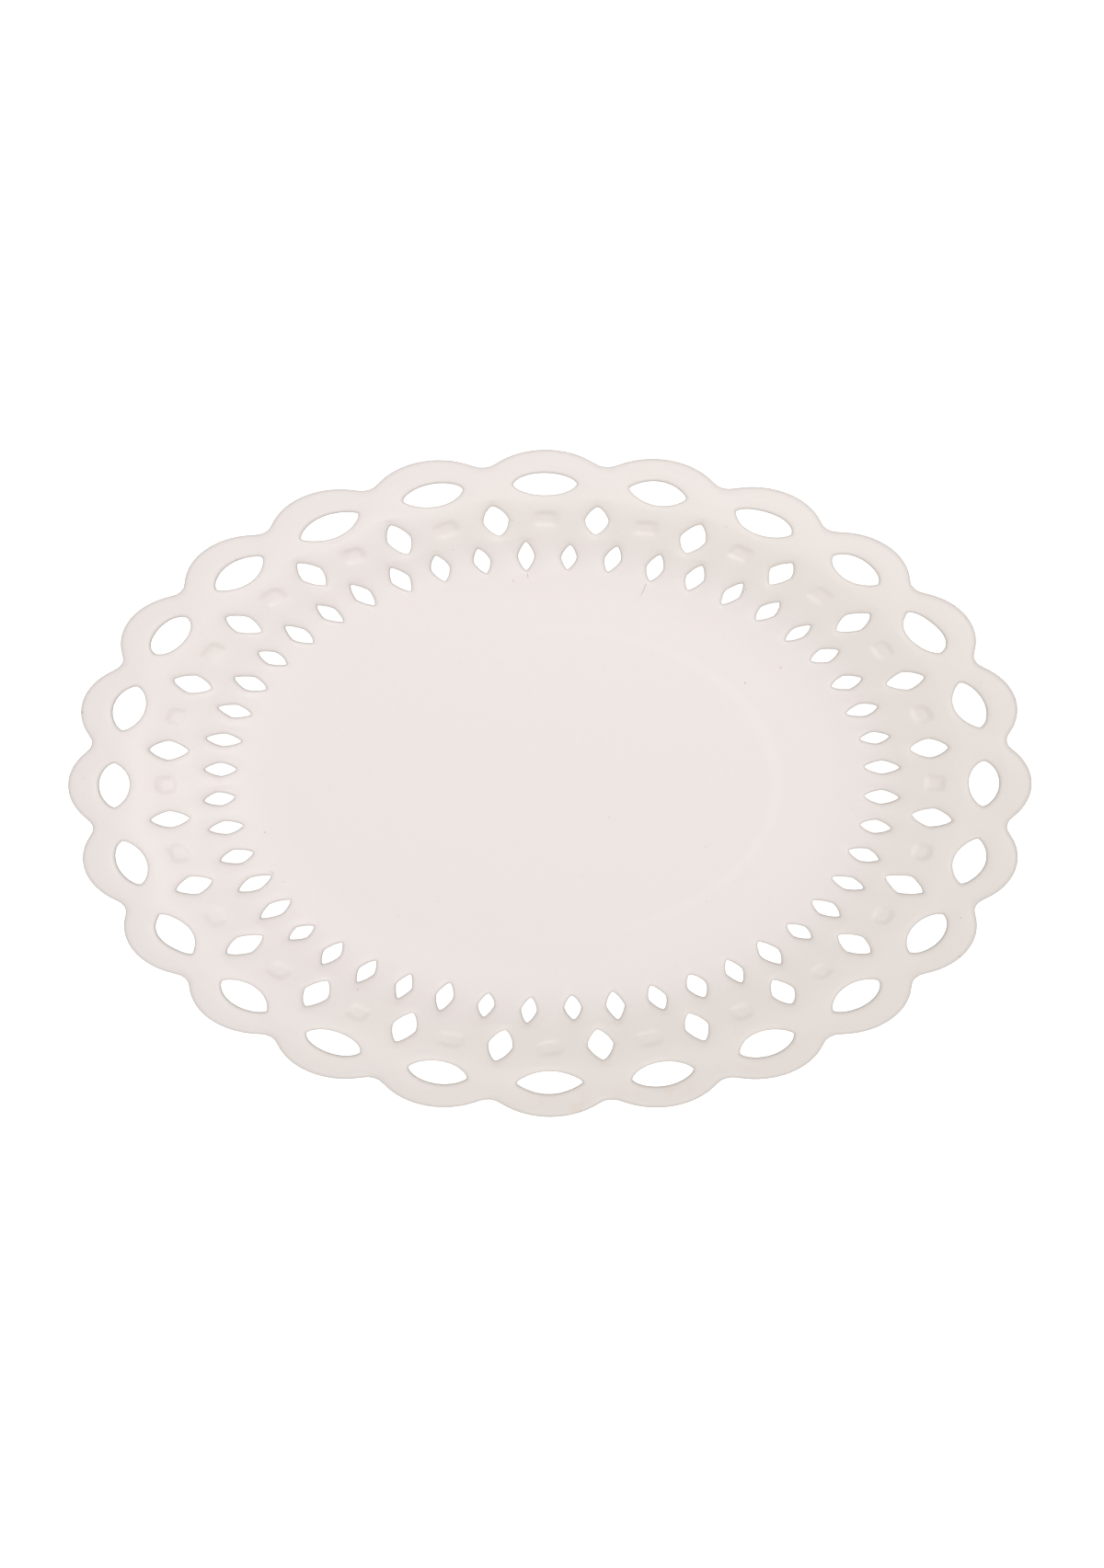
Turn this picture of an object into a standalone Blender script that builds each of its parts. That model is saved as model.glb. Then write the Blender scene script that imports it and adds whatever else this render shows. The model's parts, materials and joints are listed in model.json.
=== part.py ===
"""Oval ceramic serving dish with a pierced, scalloped lace rim, standing on an oval foot ring.

The rim's pattern is drawn on a round plan, then narrowed across its width into the oval. A plan point
is a 2-D vector in that round plan, so a scallop or a hole is described once and repeated by turning it.
Sizes are in metres, the long axis is X, +Z is up and the foot stands on Z = 0.
"""

import math

import bmesh
import bpy
from mathutils import Vector

MM = 0.001

# Oval: half the length along X, and the share of it that the width has, which grows a little outwards.
HALF_LENGTH = 165 * MM
OVAL_AT_CENTRE = 0.661
OVAL_GAIN = 0.032

# Section: the wall rises from the edge of the flat floor to the flange, and the brim lifts a little more.
# Shares are of the half length. The delay, a power above 1, moves the steepest part outwards.
FLOOR_SHARE = 0.55
WALL_SHARE = 0.92
WALL_DELAY = 1.25
BRIM_SHARE = 0.80
WALL_RISE = 17.3 * MM
BRIM_LIFT = 0.6 * MM
FLOOR_TOP = 9.6 * MM
FLOOR_THICKNESS = 4.6 * MM
RIM_THICKNESS = 4.2 * MM

# Scallops: round crests joined by small fillets in the notches between them.
SCALLOPS = 24
REPEAT = math.tau / SCALLOPS
PATTERN_TURN = math.radians(0.3)
CREST_RADIUS = 25.2 * MM
CREST_CENTRE = HALF_LENGTH - CREST_RADIUS
NOTCH_DEPTH = 7.0 * MM
NOTCH_FILLET = 6.6 * MM

# Rows of piercings, from the well outwards: where each row's cells end, where its holes are centred,
# their half sizes, and the shares by which those grow at the ends of the oval and shrink at its sides.
FILLET_RINGS = (0.55, 0.60)
ROW_EDGES = (105.5 * MM, 123.4 * MM, 141.5 * MM, 156.3 * MM)
INNER_CENTRE, INNER_HALF_LENGTH, INNER_HALF_WIDTH = 114.9 * MM, 6.1 * MM, 3.25 * MM
INNER_GROWTH = (-0.05, 0.06)
MIDDLE_CENTRE, MIDDLE_HALF_LENGTH, MIDDLE_HALF_WIDTH = 132.4 * MM, 6.7 * MM, 4.35 * MM
MIDDLE_GROWTH = (-0.035, 0.03)
LENS_CENTRE, LENS_HALF_LENGTH, LENS_HALF_WIDTH = 148.8 * MM, 11.1 * MM, 5.4 * MM
LENS_GROWTH = (0.025, -0.005)
DIAMOND_POWER = 1.35

# Blind dimples that alternate with the middle row's diamonds.
DIMPLE_CENTRE = 132.5 * MM
DIMPLE_HALF_SIZE = 3.8 * MM
DIMPLE_FLOOR = 1.8 * MM
DIMPLE_DEPTH = 0.7 * MM
DIMPLE_POWER = 4.0

# Foot ring, a strip of constant width along an oval under the floor.
FOOT_SHARE = 0.47
FOOT_HALF_WIDTH_TOP = 3.6 * MM
FOOT_HALF_WIDTH_BASE = 2.6 * MM
FOOT_CHAMFER = 0.6 * MM
FOOT_SEGMENTS = 64
JOINT_GAP = 0.3 * MM

# Mesh: straight edges along each side of a half-repeat cell, and along each scallop.
CELL_EDGES = 2
SCALLOP_EDGES = 8

GLAZE = (0.83, 0.765, 0.74, 1.0)
BISCUIT = (0.76, 0.70, 0.62, 1.0)


def polar(radius, angle):
    return Vector((radius * math.cos(angle), radius * math.sin(angle)))


def oval_share(share):
    """Width of the oval over its length, at this share of the half length."""
    return OVAL_AT_CENTRE + OVAL_GAIN * share


def lifted(plan, height):
    """A plan point narrowed into the oval and set at a height."""
    return Vector((plan.x, plan.y * oval_share(plan.length / HALF_LENGTH), height))


def section_height(share):
    """Height above the floor: an S-curve up the wall, steepest past its middle, then the brim's slow lift."""
    up = min(max((share - FLOOR_SHARE) / (WALL_SHARE - FLOOR_SHARE), 0.0), 1.0) ** WALL_DELAY
    out = max(share - BRIM_SHARE, 0.0) / (1 - BRIM_SHARE)
    return WALL_RISE * up * up * (3 - 2 * up) + BRIM_LIFT * out * out


def top_of(plan):
    return lifted(plan, FLOOR_TOP + section_height(plan.length / HALF_LENGTH))


def underside_of(plan):
    """Below top_of by the wall's thickness, which thins from the floor to the rim."""
    share = plan.length / HALF_LENGTH
    towards_rim = max(0.0, (share - FLOOR_SHARE) / (1 - FLOOR_SHARE))
    thickness = FLOOR_THICKNESS + (RIM_THICKNESS - FLOOR_THICKNESS) * towards_rim
    return top_of(plan) - Vector((0, 0, thickness))


def outline_radius(angle):
    """Distance from the centre to the scalloped edge, in the round plan."""
    half = REPEAT / 2
    fillet_centre = HALF_LENGTH - NOTCH_DEPTH + NOTCH_FILLET
    share = CREST_RADIUS / (CREST_RADIUS + NOTCH_FILLET)
    meeting = polar(CREST_CENTRE, 0).lerp(polar(fillet_centre, half), share)
    off_crest = abs((angle + half) % REPEAT - half)
    if off_crest < math.atan2(meeting.y, meeting.x):
        beside = CREST_CENTRE * math.sin(off_crest)
        return CREST_CENTRE * math.cos(off_crest) + math.sqrt(CREST_RADIUS**2 - beside**2)
    beside = fillet_centre * math.sin(half - off_crest)
    return fillet_centre * math.cos(half - off_crest) - math.sqrt(NOTCH_FILLET**2 - beside**2)


def ring(radius, count):
    """A circle of plan points, its first point on the pattern's first notch line."""
    return [polar(radius, REPEAT / 2 + PATTERN_TURN + i * math.tau / count) for i in range(count)]


def outline():
    count = SCALLOPS * SCALLOP_EDGES
    angles = [REPEAT / 2 + i * math.tau / count for i in range(count)]
    return [polar(outline_radius(a), a + PATTERN_TURN) for a in angles]


def power(value, exponent):
    return math.copysign(abs(value) ** exponent, value)


def diamond(half_length, half_width, exponent=DIAMOND_POWER):
    """A rounded diamond or square: share of the way round to (outwards, along) from its centre."""

    def at(share):
        turn = math.tau * share
        return Vector(
            (
                -half_length * power(math.sin(turn), 2 / exponent),
                -half_width * power(math.cos(turn), 2 / exponent),
            )
        )

    return at


def lens(half_length, half_width):
    """Two arcs that meet in points at both ends of a line along the rim."""
    radius = (half_length**2 + half_width**2) / (2 * half_width)
    half_angle = math.asin(half_length / radius)

    def at(share):
        inner = share < 0.5
        swing = half_angle * (4 * (share if inner else 1 - share) - 1)
        bulge = radius * math.cos(swing) - (radius - half_width)
        return Vector((-bulge if inner else bulge, radius * math.sin(swing)))

    return at


def cell(inner, outer, middle_angle, half_angle, along):
    """The border of one cell of a row, from its inner corner on the low-angle side, going round."""
    low, high = middle_angle - half_angle, middle_angle + half_angle
    across = CELL_EDGES
    border = [polar(inner, low + (high - low) * i / along) for i in range(along)]
    border += [polar(inner + (outer - inner) * i / across, high) for i in range(across)]
    border += [polar(outer, high + (low - high) * i / along) for i in range(along)]
    border += [polar(outer + (inner - outer) * i / across, low) for i in range(across)]
    return border


def hole(shape, centre, angle, count):
    """shape placed on the plan, its points numbered to face those of the cell around it."""
    outwards, onwards = polar(1, angle), polar(1, angle + math.pi / 2)
    points = []
    for i in range(count):
        local = shape(((i + CELL_EDGES / 2) / count) % 1)
        points.append(outwards * (centre + local.x) + onwards * local.y)
    return points


def fitted(make_shape, half_length, half_width, growth, angle):
    """make_shape's outline at the size that it has at this angle round the rim."""
    end_or_side = math.cos(2 * angle)
    return make_shape(
        half_length * (1 + growth[0] * end_or_side), half_width * (1 + growth[1] * end_or_side)
    )


def pierced_cells():
    """(border, hole) of every cell that is cut through."""
    cells = []
    for i in range(SCALLOPS):
        crest = i * REPEAT + PATTERN_TURN
        notch = crest + REPEAT / 2
        for angle in (crest + REPEAT / 4, notch + REPEAT / 4):
            border = cell(ROW_EDGES[0], ROW_EDGES[1], angle, REPEAT / 4, CELL_EDGES)
            shape = fitted(diamond, INNER_HALF_LENGTH, INNER_HALF_WIDTH, INNER_GROWTH, angle)
            cells.append((border, hole(shape, INNER_CENTRE, angle, len(border))))
        border = cell(ROW_EDGES[1], ROW_EDGES[2], notch, REPEAT / 4, CELL_EDGES)
        shape = fitted(diamond, MIDDLE_HALF_LENGTH, MIDDLE_HALF_WIDTH, MIDDLE_GROWTH, notch)
        cells.append((border, hole(shape, MIDDLE_CENTRE, notch, len(border))))
        border = cell(ROW_EDGES[2], ROW_EDGES[3], crest, REPEAT / 2, 2 * CELL_EDGES)
        shape = fitted(lens, LENS_HALF_LENGTH, LENS_HALF_WIDTH, LENS_GROWTH, crest)
        cells.append((border, hole(shape, LENS_CENTRE, crest, len(border))))
    return cells


def dimpled_cells():
    """(border, dimple's edge, dimple's floor) of every cell with a blind dimple."""
    cells = []
    for i in range(SCALLOPS):
        crest = i * REPEAT + PATTERN_TURN
        border = cell(ROW_EDGES[1], ROW_EDGES[2], crest, REPEAT / 4, CELL_EDGES)
        square, floor = (
            hole(diamond(size, size, DIMPLE_POWER), DIMPLE_CENTRE, crest, len(border))
            for size in (DIMPLE_HALF_SIZE, DIMPLE_FLOOR)
        )
        cells.append((border, square, floor))
    return cells


def add_band(bm, first, second):
    """Faces between two closed loops of points. The second may have a whole number of times as many."""
    times = len(second) // len(first)
    starts = [bm.verts.new(p) for p in first]
    ends = [bm.verts.new(p) for p in second]
    for i, vert in enumerate(starts):
        after = starts[(i + 1) % len(starts)]
        run = [ends[(i * times + k) % len(ends)] for k in range(times + 1)]
        if times == 1:
            bm.faces.new((vert, after, run[1], run[0]))
            continue
        for k in range(times):
            apex = vert if k < times / 2 else after
            bm.faces.new((apex, run[k + 1], run[k]))
        bm.faces.new((vert, after, run[times // 2]))


def add_face(bm, points):
    bm.faces.new([bm.verts.new(p) for p in points])


def add_sheet(bm, surface, pierced, dimpled):
    """One side of the dish, with every plan point lifted by surface. The top side has the dimples."""
    radii = [share * HALF_LENGTH for share in FILLET_RINGS] + [ROW_EDGES[0]]
    circles = [ring(radius, SCALLOPS * 2 * CELL_EDGES) for radius in radii]
    add_face(bm, [surface(p) for p in circles[0]])
    for first, second in zip(circles, circles[1:]):
        add_band(bm, [surface(p) for p in first], [surface(p) for p in second])
    for border, opening in pierced:
        add_band(bm, [surface(p) for p in border], [surface(p) for p in opening])
    for border, square, floor in dimpled:
        sunk = Vector((0, 0, DIMPLE_DEPTH if surface is top_of else 0))
        add_band(bm, [surface(p) for p in border], [surface(p) for p in square])
        add_band(bm, [surface(p) for p in square], [surface(p) - sunk for p in floor])
        add_face(bm, [surface(p) - sunk for p in floor])
    last_circle = ring(ROW_EDGES[3], SCALLOPS * 2 * CELL_EDGES)
    add_band(bm, [surface(p) for p in last_circle], [surface(p) for p in outline()])


def finished(name, bm, material):
    """The mesh welded along its shared edges, as a named object with outward normals."""
    bmesh.ops.remove_doubles(bm, verts=bm.verts, dist=0.001 * MM)
    bmesh.ops.recalc_face_normals(bm, faces=bm.faces)
    mesh = bpy.data.meshes.new(name)
    bm.to_mesh(mesh)
    bm.free()
    mesh.set_sharp_from_angle(angle=math.radians(40))
    mesh.materials.append(material)
    obj = bpy.data.objects.new(name, mesh)
    bpy.context.scene.collection.objects.link(obj)
    return obj


def make_dish_body(material):
    """Well, wall and pierced rim: two sheets closed along the scalloped edge and inside each hole."""
    bm = bmesh.new()
    pierced, dimpled = pierced_cells(), dimpled_cells()
    for surface in (top_of, underside_of):
        add_sheet(bm, surface, pierced, dimpled)
    for loop in [outline()] + [opening for _, opening in pierced]:
        add_band(bm, [top_of(p) for p in loop], [underside_of(p) for p in loop])
    return finished("dish_body", bm, material)


def foot_loop(offset, height):
    """A line that keeps a constant distance from the foot's oval centre line."""
    long_half = FOOT_SHARE * HALF_LENGTH
    short_half = long_half * oval_share(FOOT_SHARE)
    points = []
    for i in range(FOOT_SEGMENTS):
        angle = i * math.tau / FOOT_SEGMENTS
        centre = Vector((long_half * math.cos(angle), short_half * math.sin(angle), height))
        outwards = Vector((short_half * math.cos(angle), long_half * math.sin(angle), 0))
        points.append(centre + outwards.normalized() * offset)
    return points


def make_foot_ring(material):
    """Foot ring: wider where it meets the floor, with its standing edges chamfered."""
    top = FLOOR_TOP - FLOOR_THICKNESS - JOINT_GAP
    section = (
        (-FOOT_HALF_WIDTH_TOP, top),
        (-FOOT_HALF_WIDTH_BASE, FOOT_CHAMFER),
        (-FOOT_HALF_WIDTH_BASE + FOOT_CHAMFER, 0.0),
        (FOOT_HALF_WIDTH_BASE - FOOT_CHAMFER, 0.0),
        (FOOT_HALF_WIDTH_BASE, FOOT_CHAMFER),
        (FOOT_HALF_WIDTH_TOP, top),
    )
    bm = bmesh.new()
    loops = [foot_loop(offset, height) for offset, height in section]
    for i, loop in enumerate(loops):
        add_band(bm, loop, loops[(i + 1) % len(loops)])
    return finished("foot_ring", bm, material)


def make_material(name, colour, roughness):
    material = bpy.data.materials.new(name)
    material.use_nodes = True
    shader = material.node_tree.nodes["Principled BSDF"]
    shader.inputs["Base Color"].default_value = colour
    shader.inputs["Roughness"].default_value = roughness
    shader.inputs["Metallic"].default_value = 0.0
    return material


def main():
    for obj in list(bpy.data.objects):
        bpy.data.objects.remove(obj)
    make_dish_body(make_material("ivory_glaze", GLAZE, 0.25))
    make_foot_ring(make_material("foot_biscuit", BISCUIT, 0.7))


main()
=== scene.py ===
"""Looks of the pierced oval dish: its fine surface, its glaze, and the studio that it stands in.

The lace pattern is drawn on a round plan, as in the CAD, and then narrowed into the oval. Arrays called
plan hold points of the round plan, arrays called oval hold their real X and Y, both in metres.
"""

import json
import math

import bmesh
import bpy
import numpy as np
from mathutils import Matrix, Vector


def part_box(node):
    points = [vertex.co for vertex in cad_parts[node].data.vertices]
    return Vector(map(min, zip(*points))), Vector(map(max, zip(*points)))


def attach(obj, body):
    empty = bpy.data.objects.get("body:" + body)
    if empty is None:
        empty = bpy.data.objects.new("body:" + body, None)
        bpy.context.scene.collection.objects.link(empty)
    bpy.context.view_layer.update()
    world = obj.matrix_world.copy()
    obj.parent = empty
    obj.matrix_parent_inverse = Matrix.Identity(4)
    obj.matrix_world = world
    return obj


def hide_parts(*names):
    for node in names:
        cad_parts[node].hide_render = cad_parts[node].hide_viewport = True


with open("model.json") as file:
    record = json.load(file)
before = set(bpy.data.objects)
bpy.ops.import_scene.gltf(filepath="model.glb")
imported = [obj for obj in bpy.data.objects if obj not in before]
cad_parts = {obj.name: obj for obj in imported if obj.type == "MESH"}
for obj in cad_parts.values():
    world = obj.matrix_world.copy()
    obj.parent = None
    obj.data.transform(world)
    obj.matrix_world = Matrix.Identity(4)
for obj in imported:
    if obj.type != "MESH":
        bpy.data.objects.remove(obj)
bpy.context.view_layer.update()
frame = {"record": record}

MM = 0.001

# From the frame
BODY_LOW, BODY_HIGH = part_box("dish_body")
FOOT_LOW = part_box("foot_ring")[0]
MOUNTS = {mount["name"]: Vector(mount["pos_m"]) for mount in frame["record"]["mounts"]}
HALF_LENGTH = (BODY_HIGH.x - BODY_LOW.x) / 2
HALF_WIDTH = (BODY_HIGH.y - BODY_LOW.y) / 2
RIM_TOP = BODY_HIGH.z
FLOOR_TOP = MOUNTS["well_floor"].z
FLOOR_THICKNESS = FLOOR_TOP - BODY_LOW.z
FOOT_HALF_LENGTH = MOUNTS["foot_rest"].x

# Oval: the share of its length that the width has, at the centre and more for each half length outwards.
# Finding where a real point lies in the round plan takes a few rounds.
OVAL_GAIN = 0.032
OVAL_AT_CENTRE = HALF_WIDTH / HALF_LENGTH - OVAL_GAIN
FOOT_HALF_WIDTH = FOOT_HALF_LENGTH * (OVAL_AT_CENTRE + OVAL_GAIN * FOOT_HALF_LENGTH / HALF_LENGTH)
SHARE_ROUNDS = 4

# Section, in shares of the half length, as in the CAD. The delay moves the steepest part outwards.
FLOOR_SHARE = 0.55
WALL_SHARE = 0.92
WALL_DELAY = 1.25
BRIM_SHARE = 0.80
BRIM_LIFT = 0.6 * MM
WALL_RISE = RIM_TOP - FLOOR_TOP - BRIM_LIFT
RIM_THICKNESS = 4.2 * MM

# Unevenness of pressed clay: number of waves, their longest and shortest length, their height, and how
# fast they grow from the centre outwards
WARP_WAVES = 7
WARP_LENGTHS = (170 * MM, 50 * MM)
WARP_HEIGHT = 0.05 * MM
WARP_GROWTH = 1.2

# Lace pattern, as in the CAD
SCALLOPS = 24
REPEAT = math.tau / SCALLOPS
PATTERN_TURN = math.radians(0.3)
CREST_RADIUS = 25.2 * MM
CREST_CENTRE = HALF_LENGTH - CREST_RADIUS
NOTCH_DEPTH = 7.0 * MM
NOTCH_FILLET = 6.6 * MM
ROW_EDGES = (105.5 * MM, 123.4 * MM, 141.5 * MM, 156.3 * MM)
DIAMOND_POWERS = (1.45, 1.45)
LENS_POWERS = (1.35, 1.0)

# Each kind of hole: distance from the centre, half size outwards and along the rim, how those grow
# towards the oval's ends, the powers of its outline, how far hand cutting varies its size, its sides
# and its tilt, and the tilt that the holes at the oval's two ends share, in degrees
INNER = {
    "centre": 114.9 * MM,
    "half": (5.85 * MM, 3.1 * MM),
    "growth": (-0.05, 0.06),
    "powers": DIAMOND_POWERS,
    "size_vary": 0.045,
    "side_vary": 0.05,
    "tilt": 3.0,
    "end_tilt": -2.7,
}
MIDDLE = {
    "centre": 132.4 * MM,
    "half": (6.65 * MM, 4.3 * MM),
    "growth": (-0.035, 0.03),
    "powers": DIAMOND_POWERS,
    "size_vary": 0.02,
    "side_vary": 0.035,
    "tilt": 4.0,
    "end_tilt": -1.6,
}
LENS = {
    "centre": 148.8 * MM,
    "half": (5.2 * MM, 10.85 * MM),
    "growth": (-0.005, 0.025),
    "powers": LENS_POWERS,
    "size_vary": 0.02,
    "side_vary": 0.02,
    "tilt": 1.3,
    "end_tilt": 0.0,
}

# How far the place of every hole and dimple varies, and how far a hole's outline swells and shrinks
PLACE_VARY = 0.25 * MM
WOBBLE = 0.012

# Dimples: distance from the centre, half size outwards and along the rim, depth, the share by which that
# is less at the front, the power of their outline, their rings from the shoulder inwards, the ring where
# their floor begins, how far each one varies, and the rings of the underside
DIMPLE_CENTRE = 132.5 * MM
DIMPLE_HALF = (3.15 * MM, 4.15 * MM)
DIMPLE_DEPTH = 0.82 * MM
FRONT_SHALLOWER = 0.35
DIMPLE_POWER = 0.62
DIMPLE_RINGS = (1.25, 1.12, 1.0, 0.88, 0.76, 0.64, 0.5, 0.25)
DIMPLE_FLOOR_RING = 0.5
DIMPLE_VARY = {"tilt": 7, "depth": 0.15, "half": 0.05, "power": 0.12}
DIMPLE_UNDER = (0, 0.35, 0.7)

# Ghost of the foot in the floor of the well: a shallow trough over the foot's outer side
GHOST_OFFSET = 1.2 * MM
GHOST_HALF_WIDTH = 2.6 * MM
GHOST_DEPTH = 0.02 * MM

# Rounded edges: how far in and how deep the glaze rounds them off, above and below, how far the clay
# has sunk where that begins, the angle that it begins at, in radians, and the edge value that an angle
# of 0 would have
TOP_ROUND = (1.55 * MM, 1.35 * MM)
UNDER_ROUND = (1.1 * MM, 1.5 * MM)
SHOULDER = 0.2 * MM
ROUND_START = 0.15
EDGE_VALUE = 0.3

# Mesh: how far each row's line swerves and how often, edges round the dish in one cell, edges across
# each row, loops round each edge and between it and the border, the well's rings, the radii of the last
# of them and of the square core inside it, and how near two points have to be to be one
ROW_WAVES = ((0.0, 1), (-1.2 * MM, 2 * SCALLOPS), (-1.2 * MM, SCALLOPS), (1.3 * MM, SCALLOPS))
ALONG = 10
ACROSS = 8
TOP_STEPS = 5
UNDER_STEPS = 3
TOP_BLENDS = 3
UNDER_BLENDS = 2
WELL_RINGS = 11
LAST_RING = 66 * MM
CORE = 63.5 * MM
WELD = 0.002 * MM

# Foot ring: half width of its sides, radius of the standing edge's corners, flare into the floor, how
# far it reaches into the clay above, and how many points it has round the oval, a corner and a flare
FOOT_HALF_BASE = 2.6 * MM
FOOT_CORNER = 0.7 * MM
FOOT_FLARE = 2.2 * MM
FOOT_OVERLAP = 0.08 * MM
FOOT_SEGMENTS = 192
FOOT_CORNER_POINTS = 6
FOOT_FLARE_POINTS = 7

rng = np.random.default_rng(24)


# ---------------------------------------------------------------- plan and section


def polar(radius, angle):
    """Plan points at these radii and angles."""
    return np.stack([radius * np.cos(angle), radius * np.sin(angle)], axis=-1)


def narrowed(plan):
    """Real X and Y of plan points."""
    share = np.linalg.norm(plan, axis=-1) / HALF_LENGTH
    return np.stack([plan[..., 0], plan[..., 1] * (OVAL_AT_CENTRE + OVAL_GAIN * share)], axis=-1)


def share_of(oval):
    """Share of the half length that real points lie at in the round plan, found in a few rounds."""
    share = np.linalg.norm(oval, axis=-1) / HALF_LENGTH
    for _ in range(SHARE_ROUNDS):
        width = OVAL_AT_CENTRE + OVAL_GAIN * share
        share = np.hypot(oval[..., 0], oval[..., 1] / width) / HALF_LENGTH
    return share


def smooth(t):
    """An S-curve from 0 to 1."""
    t = np.clip(t, 0, 1)
    return t * t * (3 - 2 * t)


def section_height(share):
    """Height above the floor: an S-curve up the wall, steepest past its middle, then a slow lift."""
    up = np.clip((share - FLOOR_SHARE) / (WALL_SHARE - FLOOR_SHARE), 0, 1) ** WALL_DELAY
    out = np.maximum(share - BRIM_SHARE, 0) / (1 - BRIM_SHARE)
    return WALL_RISE * smooth(up) + BRIM_LIFT * out**2


def make_warp():
    """A gentle unevenness, as pressed clay has: a sum of waves in different directions."""
    number = math.tau / np.linspace(*WARP_LENGTHS, WARP_WAVES)
    heading = rng.uniform(0, math.tau, WARP_WAVES)
    phase = rng.uniform(0, math.tau, WARP_WAVES)

    def warp(oval):
        along = oval[..., 0, None] * np.cos(heading) + oval[..., 1, None] * np.sin(heading)
        return WARP_HEIGHT * np.sin(along * number + phase).sum(axis=-1)

    return warp


warp = make_warp()


def pressed_height(oval, share):
    """Height of the clay over real points at a share of the half length, without ghost and dimples."""
    return FLOOR_TOP + section_height(share) + warp(oval) * smooth(share * WARP_GROWTH)


def top_height(oval):
    """Height of the glaze over real points, dimples and rounded edges left out."""
    foot = np.hypot(oval[..., 0] / FOOT_HALF_LENGTH, oval[..., 1] / FOOT_HALF_WIDTH)
    off_foot = (foot - 1) * FOOT_HALF_LENGTH - GHOST_OFFSET
    groove = GHOST_DEPTH * np.exp(-((off_foot / GHOST_HALF_WIDTH) ** 2))
    return pressed_height(oval, share_of(oval)) - groove


def under_height(oval):
    """Height of the underside, below the top by the thickness, which thins towards the rim."""
    share = share_of(oval)
    towards_rim = np.clip((share - FLOOR_SHARE) / (1 - FLOOR_SHARE), 0, 1)
    thickness = FLOOR_THICKNESS + (RIM_THICKNESS - FLOOR_THICKNESS) * towards_rim
    return pressed_height(oval, share) - thickness


# ---------------------------------------------------------------- outlines


def outline_radius(angle):
    """Distance from the centre to the scalloped edge, in the round plan."""
    half = REPEAT / 2
    fillet_centre = HALF_LENGTH - NOTCH_DEPTH + NOTCH_FILLET
    crest_at, fillet_at = polar(CREST_CENTRE, 0.0), polar(fillet_centre, half)
    meeting = crest_at + (fillet_at - crest_at) * CREST_RADIUS / (CREST_RADIUS + NOTCH_FILLET)
    meeting_angle = math.atan2(meeting[1], meeting[0])
    off_crest = np.abs((angle + half) % REPEAT - half)
    on_crest = np.minimum(off_crest, meeting_angle)
    crest = CREST_CENTRE * np.cos(on_crest)
    crest = crest + np.sqrt(CREST_RADIUS**2 - (CREST_CENTRE * np.sin(on_crest)) ** 2)
    on_fillet = half - np.maximum(off_crest, meeting_angle)
    fillet = fillet_centre * np.cos(on_fillet)
    fillet = fillet - np.sqrt(NOTCH_FILLET**2 - (fillet_centre * np.sin(on_fillet)) ** 2)
    return np.where(off_crest < meeting_angle, crest, fillet)


def row_radius(row, angle):
    """Radius of the line where a row of cells begins or ends, which swerves round the holes' tips."""
    wave, repeats = ROW_WAVES[row]
    return ROW_EDGES[row] + wave * np.cos(repeats * (angle - PATTERN_TURN))


def signed_power(value, power):
    """A power of the value's size, with its sign kept."""
    return np.copysign(np.abs(value) ** power, value)


def hole_outline(kind, angle, count):
    """A hole's edge in real X and Y, its points numbered to face those of the cell around it."""
    stretch = math.cos(2 * angle)
    half = [h * (1 + g * stretch) for h, g in zip(kind["half"], kind["growth"])]
    size = 1 + rng.normal(0, kind["size_vary"])
    half = [h * size * (1 + rng.normal(0, kind["side_vary"])) for h in half]
    tilt = math.radians(rng.normal(0, kind["tilt"]) + kind["end_tilt"] * math.cos(angle))
    turn = math.tau * (np.arange(count) + ACROSS / 2) / count
    out = -half[0] * signed_power(np.sin(turn), kind["powers"][0])
    along = -half[1] * signed_power(np.cos(turn), kind["powers"][1])
    for lobes in (2, 3, 4):
        swell = 1 + rng.normal(0, WOBBLE) * np.cos(lobes * turn + rng.uniform(0, math.tau))
        out, along = out * swell, along * swell
    out, along = (
        out * math.cos(tilt) - along * math.sin(tilt),
        out * math.sin(tilt) + along * math.cos(tilt),
    )
    centre = polar(kind["centre"] + rng.normal(0, PLACE_VARY), angle)
    centre = centre + rng.normal(0, PLACE_VARY / 2, 2)
    outwards, onwards = polar(1.0, angle), polar(1.0, angle + math.pi / 2)
    return narrowed(centre + out[:, None] * outwards + along[:, None] * onwards)


def cell_border(row, middle_angle, half_angle, along):
    """Border of one cell in real X and Y, from its inner corner on the low-angle side."""
    low, high = middle_angle - half_angle, middle_angle + half_angle
    onwards, upwards = np.arange(along) / along, np.arange(ACROSS) / ACROSS
    there, back = low + (high - low) * onwards, high + (low - high) * onwards
    inner, outer = row_radius(row, high), row_radius(row + 1, high)
    sides = [
        polar(row_radius(row, there), there),
        polar(inner + (outer - inner) * upwards, np.full(ACROSS, high)),
        polar(row_radius(row + 1, back), back),
        polar(outer + (inner - outer) * upwards, np.full(ACROSS, low)),
    ]
    return narrowed(np.concatenate(sides))


def moved_off(loop, distance):
    """A closed loop moved outwards, away from the space that it encloses, by a distance."""
    ahead, behind = np.roll(loop, -1, axis=0), np.roll(loop, 1, axis=0)
    tangent = ahead - behind
    tangent /= np.linalg.norm(tangent, axis=1, keepdims=True)
    area = np.sum(loop[:, 0] * ahead[:, 1] - ahead[:, 0] * loop[:, 1])
    normal = np.stack([tangent[:, 1], -tangent[:, 0]], axis=1) * np.sign(area)
    return loop + normal * distance


# ---------------------------------------------------------------- mesh


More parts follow.
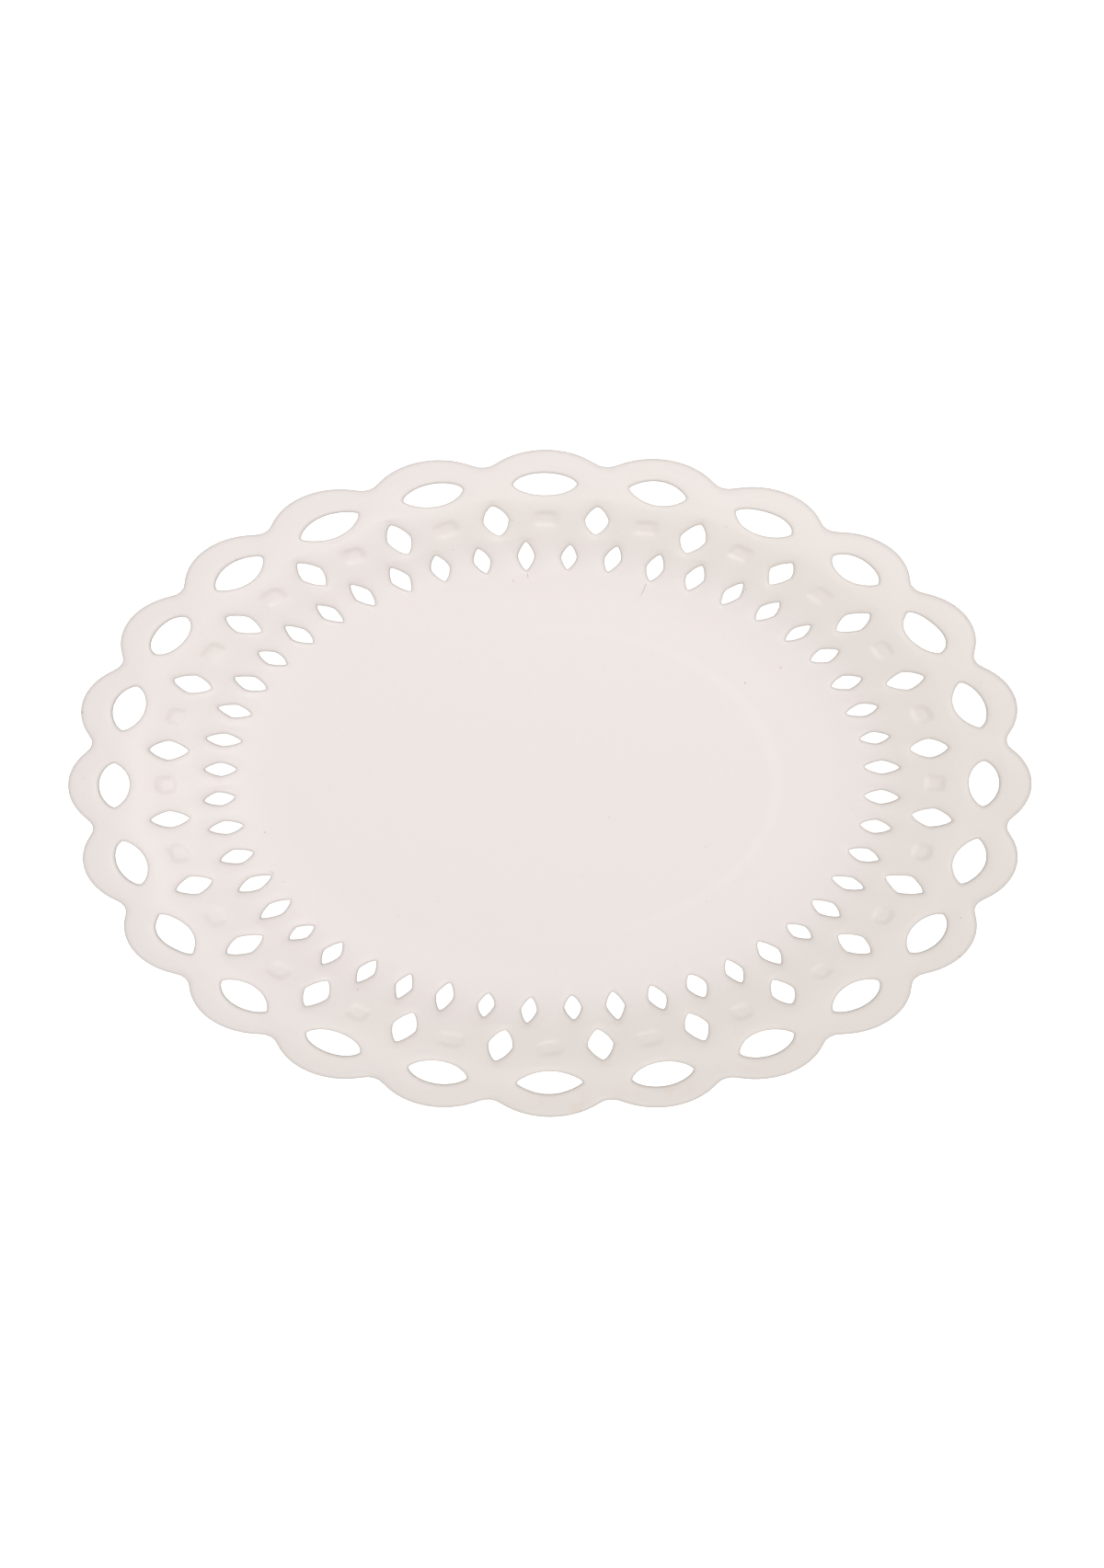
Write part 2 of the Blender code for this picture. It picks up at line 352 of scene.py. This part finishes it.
class Patchwork:
    """Collects grids of points, which are welded along their shared borders at the end."""

    def __init__(self):
        self.points, self.faces, self.edge, self.size = [], [], [], 0

    def add_points(self, points, edge):
        """Points with their edge values. Returns the number of the first one."""
        start = self.size
        self.points.append(points)
        self.edge.append(edge)
        self.size += len(points)
        return start

    def add_rings(self, rings, edge):
        """Faces between closed rings of points, which all have the same number."""
        count = rings[0].shape[0]
        start = self.add_points(np.concatenate(rings), np.repeat(edge, count))
        column = np.arange(count)
        after = (column + 1) % count
        for ring in range(len(rings) - 1):
            here, there = start + ring * count, start + (ring + 1) * count
            quads = np.stack([here + column, here + after, there + after, there + column], axis=1)
            self.faces += quads.tolist()

    def add_plain_rings(self, rings):
        """Faces between closed rings that are away from any edge."""
        self.add_rings(rings, [0.0] * len(rings))

    def add_fan(self, ring, centre):
        """Triangles from a ring to one point in its middle."""
        start = self.add_points(np.concatenate([ring, centre[None]]), np.zeros(len(ring) + 1))
        last = start + len(ring)
        for i in range(len(ring)):
            self.faces.append([start + i, start + (i + 1) % len(ring), last])

    def add_thinning(self, outer, inner):
        """Faces from a ring to one with half as many points, which match every second one."""
        start = self.add_points(np.concatenate([outer, inner]), np.zeros(len(outer) + len(inner)))
        second = start + len(outer)
        for i in range(len(inner)):
            a, b, c = (start + (2 * i + k) % len(outer) for k in range(3))
            d, e = second + i, second + (i + 1) % len(inner)
            self.faces += [[a, b, d], [b, c, e], [b, e, d]]

    def add_square(self, grid):
        """Quads of a square grid of points."""
        rows, columns = grid.shape[:2]
        start = self.add_points(grid.reshape(-1, 3), np.zeros(rows * columns))
        for row in range(rows - 1):
            for column in range(columns - 1):
                a = start + row * columns + column
                self.faces.append([a, a + 1, a + columns + 1, a + columns])

    def finish(self, name):
        """The welded mesh as an object, with the edge values as a point attribute."""
        mesh = bpy.data.meshes.new(name)
        mesh.from_pydata(np.concatenate(self.points).tolist(), [], self.faces)
        attribute = mesh.attributes.new("edge", "FLOAT", "POINT")
        attribute.data.foreach_set("value", np.concatenate(self.edge).astype(np.float32))
        bm = bmesh.new()
        bm.from_mesh(mesh)
        bmesh.ops.remove_doubles(bm, verts=bm.verts, dist=WELD)
        bmesh.ops.recalc_face_normals(bm, faces=bm.faces)
        bm.to_mesh(mesh)
        bm.free()
        mesh.shade_smooth()
        piece = bpy.data.objects.new(name, mesh)
        bpy.context.scene.collection.objects.link(piece)
        return piece


def raised(oval, height):
    """Real points in 3-D at a height, or each at its own."""
    return np.concatenate([oval, np.broadcast_to(height, oval.shape[:-1])[..., None]], axis=-1)


def edge_rings(border, edge_loop, inwards, surface, rounding, steps, blends, sign):
    """Rings from a border to a rounded edge, and their edge values: 0 away from it, 1 at its end.

    inwards is +1 where the clay lies outside the loop and -1 where it lies inside. sign is +1 on the
    top side, whose edge rounds downwards, and -1 on the underside.
    """
    reach, depth = rounding
    start = moved_off(edge_loop, inwards * reach)
    rings, nearness = [], []
    for t in np.arange(blends) / blends:
        loop = border + (start - border) * t
        drop = SHOULDER * t**2
        rings.append(raised(loop, surface(loop) - sign * drop))
        nearness.append(0.0)
    for turn in np.linspace(ROUND_START, math.pi / 2, steps + 1):
        off = reach * (1 - math.sin(turn)) / (1 - math.sin(ROUND_START))
        loop = moved_off(edge_loop, inwards * off)
        drop = SHOULDER + depth * (1 - math.cos(turn) / math.cos(ROUND_START))
        rings.append(raised(loop, surface(loop) - sign * drop))
        nearness.append(EDGE_VALUE + (1 - EDGE_VALUE) * turn / (math.pi / 2))
    return rings, nearness


def add_rounded(patch, border, edge_loop, inwards):
    """Clay between a border and an edge: its top, its rounded edge, its underside."""
    top, near_top = edge_rings(
        border, edge_loop, inwards, top_height, TOP_ROUND, TOP_STEPS, TOP_BLENDS, 1
    )
    under, near_under = edge_rings(
        border, edge_loop, inwards, under_height, UNDER_ROUND, UNDER_STEPS, UNDER_BLENDS, -1
    )
    patch.add_rings(top + under[::-1], near_top + near_under[::-1])


def add_dimple(patch, angle):
    """A cell with a dimple pressed into its top, and its flat underside."""
    border = cell_border(1, angle, REPEAT / 4, ALONG)
    count = len(border)
    turn = math.tau * (np.arange(count) + ACROSS / 2) / count
    tilt = math.radians(rng.normal(0, DIMPLE_VARY["tilt"]))
    depth = DIMPLE_DEPTH * (1 - FRONT_SHALLOWER * max(0.0, -math.sin(angle)))
    depth *= 1 + rng.normal(0, DIMPLE_VARY["depth"])
    half = [h * (1 + rng.normal(0, DIMPLE_VARY["half"])) for h in DIMPLE_HALF]
    power = DIMPLE_POWER * (1 + rng.normal(0, DIMPLE_VARY["power"]))
    outwards, onwards = polar(1.0, angle + tilt), polar(1.0, angle + tilt + math.pi / 2)
    centre = polar(DIMPLE_CENTRE + rng.normal(0, PLACE_VARY), angle)
    square = -half[0] * signed_power(np.sin(turn), power)[:, None] * outwards
    square = square - half[1] * signed_power(np.cos(turn), power)[:, None] * onwards
    between = (border + narrowed(centre + square * DIMPLE_RINGS[0])) / 2
    rings = [raised(loop, top_height(loop)) for loop in (border, between)]
    for size in DIMPLE_RINGS:
        loop = narrowed(centre + square * size)
        sunk = smooth((DIMPLE_RINGS[0] - size) / (DIMPLE_RINGS[0] - DIMPLE_FLOOR_RING))
        rings.append(raised(loop, top_height(loop) - depth * sunk))
    patch.add_plain_rings(rings)
    middle = narrowed(centre)
    patch.add_fan(rings[-1], raised(middle, top_height(middle) - depth))
    below = [border + (middle - border) * t for t in DIMPLE_UNDER]
    rings = [raised(loop, under_height(loop)) for loop in below]
    patch.add_plain_rings(rings)
    patch.add_fan(rings[-1], raised(middle, under_height(middle)))


def add_floor(patch, surface):
    """The well, from the first row of holes to the centre: rings, then a disc of square patches."""
    count = SCALLOPS * 2 * ALONG
    angles = PATTERN_TURN + REPEAT / 2 + math.tau * np.arange(count) / count
    radii = np.linspace(ROW_EDGES[0], LAST_RING, WELL_RINGS)
    rings = [narrowed(polar(np.full(count, radius), angles)) for radius in radii]
    patch.add_plain_rings([raised(ring, surface(ring)) for ring in rings])
    half_ring = narrowed(polar(np.full(count // 2, CORE), angles[::2]))
    patch.add_thinning(raised(rings[-1], surface(rings[-1])), raised(half_ring, surface(half_ring)))
    side = count // 8
    steps = np.linspace(-1, 1, side + 1)
    u, v = np.meshgrid(steps, steps, indexing="ij")
    wide = np.abs(u) >= np.abs(v)
    reach = np.where(wide, u, v)
    lean = np.divide(np.where(wide, v, u), reach, out=np.zeros_like(u), where=reach != 0)
    swing = lean * math.pi / 4
    angle = np.where(wide, swing, math.pi / 2 - swing)
    corner = PATTERN_TURN + REPEAT / 2 + math.pi / 4 - math.tau * (side // 2) / (count // 2)
    grid = narrowed(polar(CORE * reach, angle + corner - math.pi / 4))
    patch.add_square(raised(grid, surface(grid)))


def make_dish():
    """Well, wall and pierced rim as one welded surface."""
    patch = Patchwork()
    for surface in (top_height, under_height):
        add_floor(patch, surface)
    for i in range(SCALLOPS):
        crest = i * REPEAT + PATTERN_TURN
        notch = crest + REPEAT / 2
        for angle in (crest + REPEAT / 4, notch + REPEAT / 4):
            border = cell_border(0, angle, REPEAT / 4, ALONG)
            add_rounded(patch, border, hole_outline(INNER, angle, len(border)), 1)
        border = cell_border(1, notch, REPEAT / 4, ALONG)
        add_rounded(patch, border, hole_outline(MIDDLE, notch, len(border)), 1)
        add_dimple(patch, crest)
        border = cell_border(2, crest, REPEAT / 2, 2 * ALONG)
        add_rounded(patch, border, hole_outline(LENS, crest, len(border)), 1)
    count = SCALLOPS * 2 * ALONG
    angles = REPEAT / 2 + math.tau * np.arange(count) / count
    border = narrowed(polar(row_radius(3, angles + PATTERN_TURN), angles + PATTERN_TURN))
    outline = narrowed(polar(outline_radius(angles), angles + PATTERN_TURN))
    add_rounded(patch, border, outline, -1)
    return patch.finish("glazed_dish")


def make_foot():
    """Foot ring: a rounded standing edge, sides that flare into the floor above."""
    angle = math.tau * np.arange(FOOT_SEGMENTS) / FOOT_SEGMENTS
    line = np.stack([FOOT_HALF_LENGTH * np.cos(angle), FOOT_HALF_WIDTH * np.sin(angle)], axis=1)
    top = BODY_LOW.z + FOOT_OVERLAP
    side = []
    for turn in np.linspace(0, math.pi / 2, FOOT_CORNER_POINTS):
        rounded_off = FOOT_CORNER * (1 - math.sin(turn))
        side.append((FOOT_HALF_BASE - rounded_off, FOOT_LOW.z + FOOT_CORNER * (1 - math.cos(turn))))
    for turn in np.linspace(0, math.pi / 2, FOOT_FLARE_POINTS):
        flared = FOOT_FLARE * (1 - math.cos(turn))
        side.append((FOOT_HALF_BASE + flared, top - FOOT_FLARE * (1 - math.sin(turn))))
    section = side + [(-offset, height) for offset, height in reversed(side)]
    section.append(section[0])
    patch = Patchwork()
    patch.add_plain_rings([raised(moved_off(line, offset), height) for offset, height in section])
    return patch.finish("foot")


# ---------------------------------------------------------------- materials


class Nodes:
    """Short ways to add and join one material's nodes."""

    def __init__(self, name):
        self.material = bpy.data.materials.new(name)
        self.material.use_nodes = True
        self.tree = self.material.node_tree
        self.shader = self.tree.nodes["Principled BSDF"]
        self.place = self.add("ShaderNodeNewGeometry").outputs["Position"]

    def add(self, kind, inputs=None, **settings):
        """A new node, with its settings made and its inputs fed."""
        node = self.tree.nodes.new(kind)
        for name, value in settings.items():
            setattr(node, name, value)
        for name, value in (inputs or {}).items():
            self.feed(node.inputs[name], value)
        return node

    def feed(self, socket, value):
        """Joins another node's output to the socket, or sets the socket to a number or a tuple."""
        if isinstance(value, bpy.types.NodeSocket):
            self.tree.links.new(value, socket)
        else:
            socket.default_value = value if isinstance(value, tuple) else float(value)

    def math(self, operation, *values):
        """Output of a math node."""
        node = self.add("ShaderNodeMath", operation=operation)
        for socket, value in zip(node.inputs, values):
            self.feed(socket, value)
        return node.outputs[0]

    def ramp(self, value, low, high, first=0.0, last=1.0):
        """value mapped from low..high onto first..last along a smooth curve."""
        inputs = {"Value": value, "From Min": low, "From Max": high, "To Min": first, "To Max": last}
        node = self.add("ShaderNodeMapRange", inputs, interpolation_type="SMOOTHSTEP")
        return node.outputs["Result"]

    def length_xy(self, x, y):
        """Length of the vector with these two parts."""
        square = self.math("MULTIPLY", x, x)
        return self.math("SQRT", self.math("MULTIPLY_ADD", y, y, square))

    def dot_xy(self, x, y, direction, offset):
        """x and y along a direction, plus an offset."""
        part = self.math("MULTIPLY_ADD", y, direction[1], offset)
        return self.math("MULTIPLY_ADD", x, direction[0], part)

    def noise(self, scale, detail=2.0, roughness=0.5):
        """Output of a noise that has about this many grains to the metre."""
        inputs = {"Vector": self.place, "Scale": scale, "Detail": detail, "Roughness": roughness}
        return self.add("ShaderNodeTexNoise", inputs).outputs["Fac"]

    def mix(self, share, first, second):
        """Two colours mixed: the node's inputs 6 and 7 and its output 2 are the ones for colours."""
        node = self.add("ShaderNodeMix", data_type="RGBA")
        self.feed(node.inputs["Factor"], share)
        self.feed(node.inputs[6], first)
        self.feed(node.inputs[7], second)
        return node.outputs[2]

    def pits(self, scale, radius, share):
        """Spots of a radius, in metres, in a share of the cells of a random pattern: 1 inside them."""
        cells = self.add("ShaderNodeTexVoronoi", {"Vector": self.place, "Scale": scale})
        inside = self.ramp(cells.outputs["Distance"], radius * scale * 0.4, radius * scale, 1.0, 0.0)
        pick = self.add("ShaderNodeSeparateColor", {"Color": cells.outputs["Color"]}).outputs[0]
        return self.math("MULTIPLY", inside, self.math("LESS_THAN", pick, share))


# Tones of the glaze and of bare fired clay, and of the painted shade and painted highlight mixed into
# the glaze
GLAZE = (0.839, 0.774, 0.754, 1.0)
GLAZE_ROSY = (0.842, 0.770, 0.752, 1.0)
GLAZE_SANDY = (0.828, 0.770, 0.716, 1.0)
# Painted highlight tone for the ghost of the foot
GHOST_HIGHLIGHT_TONE = (0.862, 0.800, 0.778, 1.0)
# Painted shade tone for the front, the right and the flange
PAINTED_SHADE_TONE = (0.736, 0.678, 0.636, 1.0)
# Painted shade tone for the rounded edges
EDGE_SHADE_TONE = (0.72, 0.675, 0.62, 1.0)
PIT_TONE = (0.42, 0.36, 0.30, 1.0)
STAIN_TONE = (0.72, 0.61, 0.53, 1.0)
CRACK_TONE = (0.30, 0.24, 0.17, 1.0)
GRAIN_TONE = (0.78, 0.72, 0.69, 1.0)
BISCUIT = (0.74, 0.66, 0.56, 1.0)
BISCUIT_DARK = (0.62, 0.54, 0.44, 1.0)

# Where the tones change: distances from the centre over which the rim and its flange begin; distances
# along a direction over which the painted shade darkens the dish, it turns sandy, the painted highlight
# on its ghost shows more clearly and it has its stains; distances from the ghost's line over which that
# painted highlight fades; and the edge values over which the painted shade of the edges comes in
RIM_BAND = (0.66 * HALF_LENGTH, 0.80 * HALF_LENGTH)
FLANGE_BAND = (0.84 * HALF_LENGTH, 0.94 * HALF_LENGTH)
# Painted shade grows along this direction, over this band
SHADE_WAY, SHADE_BAND = (0.64, -0.77), (-65 * MM, 125 * MM)
SANDY_BAND = (-100 * MM, 90 * MM)
# Painted highlight on the ghost grows along this direction, over this band
GHOST_HIGHLIGHT_WAY, GHOST_HIGHLIGHT_BAND = (0.97, 0.25), (-20 * MM, 70 * MM)
STAIN_BAND = (-84 * MM, -110 * MM)
GHOST_HIGHLIGHT_FADES = (0.6 * MM, 3.6 * MM)
EDGE_SHADE_BAND = (0.55, 0.95)

# How strong they are. Patches and the painted shade of the darker side: on the floor, how much more on
# the rim, and how much more on the flange. Sandy wall and the ghost's painted highlight: at the first
# and at the last end of their band.
PATCH_SHARES = (0.10, 0.15)
SHADE_SHARES = (0.20, 0.26, 0.45)
# How much painted shade darkens the flange all round
FLANGE_SHADE_SHARE = 0.12
SANDY_SHARES = (0.15, 0.9)
SANDY_OFF_FLANGE = -0.7
GHOST_HIGHLIGHT_SHARES = (0.06, 0.4)
# Painted shade on the edges: its weakest and strongest share
EDGE_SHADE_SHARES = (0.45, 0.85)
GRAIN_SHARE = 0.16
CRACK_SHARE = 0.65
SPECK_SHARE = 0.6

# Pinholes and specks: cells to the metre, radius, share of the cells that have one
PINHOLES = (150, 0.40 * MM, 0.2)
SPECKS = (420, 0.20 * MM, 0.08)

# Hairline cracks run inwards from these holes of the inner row: number of the hole, length in the plan
CRACKS = ((12, 5.0 * MM), (9, 10.0 * MM))
CRACK_WIDTH = 0.16 * MM
CRACK_WANDER = 0.15 * MM
CRACK_START = (1.4 * MM, 1.8 * MM)

# Foot's glaze: heights over which it begins above the wiped edge, and how far that line wanders
WIPED_BAND = (0.9 * MM, 1.2 * MM)
WIPED_WANDER = 0.4 * MM


def crack_line(n, x, y, hole, length):
    """Mask of one hairline crack, from a hole's inner tip towards the well: 1 on it, fading inwards."""
    angle = PATTERN_TURN + REPEAT * (hole / 2 + 0.25)
    tip = INNER["centre"] - INNER["half"][0] * (1 + INNER["growth"][0] * math.cos(2 * angle))
    start, end = narrowed(polar(np.array([tip, tip - length]), angle))
    run = float(np.linalg.norm(end - start))
    towards = (end - start) / run
    along = n.dot_xy(x, y, towards, -float(start @ towards))
    aside = np.array([-towards[1], towards[0]])
    wander = n.ramp(n.noise(260, 2), 0.2, 0.8, -CRACK_WANDER, CRACK_WANDER)
    across = n.math("ADD", n.dot_xy(x, y, aside, -float(start @ aside)), wander)
    line = n.ramp(n.math("ABSOLUTE", across), CRACK_WIDTH * 0.4, CRACK_WIDTH, 1.0, 0.0)
    begun = n.ramp(along, *CRACK_START)
    left = n.ramp(along, run * 0.6, run, 1.0, 0.0)
    return n.math("MULTIPLY", line, n.math("MULTIPLY", begun, left))


def make_glaze():
    """Ivory glaze with slow changes of tone, painted shade, a painted ghost highlight, pinholes, stains
    and hairlines.
    """
    n = Nodes("ivory_glaze")
    position = n.add("ShaderNodeSeparateXYZ", {"Vector": n.place})
    x, y = position.outputs["X"], position.outputs["Y"]
    radius = n.length_xy(x, n.math("DIVIDE", y, OVAL_AT_CENTRE + OVAL_GAIN * BRIM_SHARE))
    on_rim = n.ramp(radius, *RIM_BAND)
    on_flange = n.ramp(radius, *FLANGE_BAND)

    # Slow patches of tone
    patches = n.ramp(n.noise(38, 2), 0.28, 0.72)
    tone = n.mix(patches, GLAZE_ROSY, GLAZE_SANDY)
    colour = n.mix(n.math("MULTIPLY_ADD", on_rim, PATCH_SHARES[1], PATCH_SHARES[0]), GLAZE, tone)

    # Sandy wall
    on_wall = n.math("MULTIPLY_ADD", on_flange, SANDY_OFF_FLANGE, on_rim)
    sandy = n.ramp(x, *SANDY_BAND, *SANDY_SHARES)
    colour = n.mix(n.math("MULTIPLY", on_wall, sandy), colour, GLAZE_SANDY)

    # Painted shade: darker towards the front and right, where the light falls off, and a slightly darker
    # flange all round
    shade_side = n.ramp(n.dot_xy(x, y, SHADE_WAY, 0.0), *SHADE_BAND)
    share = n.math("MULTIPLY_ADD", on_rim, SHADE_SHARES[1], SHADE_SHARES[0])
    share = n.math("MULTIPLY_ADD", on_flange, SHADE_SHARES[2], share)
    flange_shade = n.math("MULTIPLY", on_flange, FLANGE_SHADE_SHARE)
    painted_shade = n.math("MAXIMUM", n.math("MULTIPLY", shade_side, share), flange_shade)
    colour = n.mix(painted_shade, colour, PAINTED_SHADE_TONE)

    # Painted highlight along the ghost of the foot, strongest at the right, where the light catches its
    # slope
    foot_x, foot_y = n.math("DIVIDE", x, FOOT_HALF_LENGTH), n.math("DIVIDE", y, FOOT_HALF_WIDTH)
    middle = -FOOT_HALF_LENGTH - GHOST_OFFSET
    off_foot = n.math("MULTIPLY_ADD", n.length_xy(foot_x, foot_y), FOOT_HALF_LENGTH, middle)
    ghost = n.ramp(n.math("ABSOLUTE", off_foot), *GHOST_HIGHLIGHT_FADES, 1.0, 0.0)
    highlight_side = n.ramp(n.dot_xy(x, y, GHOST_HIGHLIGHT_WAY, 0.0), *GHOST_HIGHLIGHT_BAND, *GHOST_HIGHLIGHT_SHARES)
    colour = n.mix(n.math("MULTIPLY", ghost, highlight_side), colour, GHOST_HIGHLIGHT_TONE)

    # Painted shade on the rounded edges: a darker line along every hole and the rim
    edge = n.add("ShaderNodeAttribute", attribute_name="edge").outputs["Fac"]
    edge_shade = n.ramp(n.noise(60, 2), 0.2, 0.8, *EDGE_SHADE_SHARES)
    colour = n.mix(n.math("MULTIPLY", n.ramp(edge, *EDGE_SHADE_BAND), edge_shade), colour, EDGE_SHADE_TONE)

    # Stains at the front
    smudge = n.ramp(n.noise(150, 3, 0.6), 0.46, 0.72, 0.0, 0.45)
    smudges = n.math("MULTIPLY", n.ramp(n.noise(22, 2), 0.5, 0.62), smudge)
    colour = n.mix(n.math("MULTIPLY", n.ramp(y, *STAIN_BAND), smudges), colour, STAIN_TONE)

    # Pinholes, specks, grain and cracks
    specks = n.math("MULTIPLY", n.pits(*SPECKS), SPECK_SHARE)
    spots = n.math("MAXIMUM", n.pits(*PINHOLES), specks)
    spots = n.math("MULTIPLY", spots, n.ramp(n.noise(30, 2), 0.3, 0.7, 0.35, 0.95))
    colour = n.mix(spots, colour, PIT_TONE)
    colour = n.mix(n.ramp(n.noise(1100, 3, 0.7), 0.3, 0.7, 0.0, GRAIN_SHARE), colour, GRAIN_TONE)
    for hole, length in CRACKS:
        crack = n.math("MULTIPLY", crack_line(n, x, y, hole, length), CRACK_SHARE)
        colour = n.mix(crack, colour, CRACK_TONE)
    n.feed(n.shader.inputs["Base Color"], colour)

    # Satin gloss, orange peel and the swell of the glaze
    rough = n.ramp(n.noise(40, 3), 0.3, 0.7, 0.35, 0.43)
    n.feed(n.shader.inputs["Roughness"], n.math("ADD", rough, n.math("MULTIPLY", spots, 0.3)))
    orange_peel = n.math("MULTIPLY", n.noise(520, 2), 0.10)
    swell = n.math("MULTIPLY", n.noise(60, 2), 0.5)
    relief = n.math("SUBTRACT", n.math("ADD", swell, orange_peel), n.math("MULTIPLY", spots, 0.3))
    bump = n.add("ShaderNodeBump", {"Height": relief, "Strength": 0.4, "Distance": 0.6 * MM})
    n.feed(n.shader.inputs["Normal"], bump.outputs["Normal"])
    return n.material


def make_foot_clay():
    """Glazed sides, and bare fired clay where the standing edge was wiped."""
    n = Nodes("foot_biscuit")
    z = n.add("ShaderNodeSeparateXYZ", {"Vector": n.place}).outputs["Z"]
    line = n.math("ADD", z, n.ramp(n.noise(120, 3), 0.2, 0.8, -WIPED_WANDER, WIPED_WANDER))
    glazed = n.ramp(line, *WIPED_BAND)
    clay = n.mix(n.ramp(n.noise(500, 4), 0.35, 0.7), BISCUIT, BISCUIT_DARK)
    n.feed(n.shader.inputs["Base Color"], n.mix(glazed, clay, GLAZE))
    n.feed(n.shader.inputs["Roughness"], n.math("SUBTRACT", 0.8, n.math("MULTIPLY", glazed, 0.52)))
    grain = n.math("MULTIPLY", n.noise(1800, 3), n.math("SUBTRACT", 1.0, glazed))
    bump = n.add("ShaderNodeBump", {"Height": grain, "Strength": 0.5, "Distance": 0.3 * MM})
    n.feed(n.shader.inputs["Normal"], bump.outputs["Normal"])
    return n.material


# ---------------------------------------------------------------- studio

TENT_STRENGTH = 0.475

# Softboxes: name, place, diameter, power in watts
SOFTBOXES = (
    ("key_softbox", (-0.06, 0.20, 0.50), 0.8, 1.2),
    ("right_softbox", (0.52, 0.05, 1.08), 0.5, 2.4),
    ("front_softbox", (0.10, -0.72, 0.92), 0.6, 2.45),
)


def make_floor():
    """A plain pale floor. Its glow reaches only the camera, so it doesn't light the dish from below."""
    mesh = bpy.data.meshes.new("studio_floor")
    side, level = 8.0, -0.1 * MM
    corners = [(-side, -side, level), (side, -side, level), (side, side, level), (-side, side, level)]
    mesh.from_pydata(corners, [], [(0, 1, 2, 3)])
    floor = bpy.data.objects.new("studio_floor", mesh)
    bpy.context.scene.collection.objects.link(floor)
    n = Nodes("studio_white")
    n.feed(n.shader.inputs["Base Color"], (0.8, 0.8, 0.8, 1.0))
    n.feed(n.shader.inputs["Roughness"], 1.0)
    n.feed(n.shader.inputs["Specular IOR Level"], 0.0)
    n.feed(n.shader.inputs["Emission Color"], (1.0, 1.0, 1.0, 1.0))
    seen = n.add("ShaderNodeLightPath").outputs["Is Camera Ray"]
    n.feed(n.shader.inputs["Emission Strength"], n.math("MULTIPLY", seen, 1.0))
    mesh.materials.append(n.material)


def add_softbox(name, place, size, power):
    """A round softbox that faces the dish and isn't seen itself."""
    data = bpy.data.lights.new(name, "AREA")
    data.shape = "DISK"
    data.size = size
    data.energy = power
    light = bpy.data.objects.new(name, data)
    light.location = place
    towards = Vector((0, 0, RIM_TOP)) - light.location
    light.rotation_euler = towards.to_track_quat("-Z", "Y").to_euler()
    light.visible_camera = False
    bpy.context.scene.collection.objects.link(light)


def make_lights():
    """A white tent all round, a close softbox at the back, and two weak ones at the right and front."""
    world = bpy.data.worlds.new("studio_tent")
    world.use_nodes = True
    tent = world.node_tree.nodes["Background"]
    tent.inputs["Color"].default_value = (1.0, 1.0, 1.0, 1.0)
    tent.inputs["Strength"].default_value = TENT_STRENGTH
    bpy.context.scene.world = world
    for softbox in SOFTBOXES:
        add_softbox(*softbox)


def make_camera():
    """Camera almost straight above, leaning a little to the right and to the back of the dish."""
    lens, sensor = 75.0, 36.0
    frame_height = 535.8 * MM
    lean_right, lean_back = math.radians(2.0), math.radians(2.0)
    aim = Vector((1.6 * MM, 0.25 * MM, RIM_TOP))
    data = bpy.data.cameras.new("camera")
    data.lens = lens
    data.sensor_width = sensor
    camera = bpy.data.objects.new("camera", data)
    towards = Vector((math.tan(lean_right), math.tan(lean_back), 1.0)).normalized()
    side = Vector((0, 1, 0)).cross(towards).normalized()
    turn = Matrix((side, towards.cross(side), towards)).transposed()
    distance = frame_height * lens / sensor
    camera.matrix_world = Matrix.Translation(aim + towards * distance) @ turn.to_4x4()
    bpy.context.scene.collection.objects.link(camera)
    bpy.context.scene.camera = camera


def main():
    """Builds the two pieces, ties them to the frame, and sets up the studio."""
    dish, foot = make_dish(), make_foot()
    dish.data.materials.append(make_glaze())
    foot.data.materials.append(make_foot_clay())
    for piece, node, slot in (
        (dish, "dish_body", "ivory_glaze"),
        (foot, "foot_ring", "foot_biscuit"),
    ):
        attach(piece, "root")
        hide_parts(node)
    make_floor()
    make_lights()
    make_camera()
    bpy.context.scene.view_settings.view_transform = "Standard"


main()
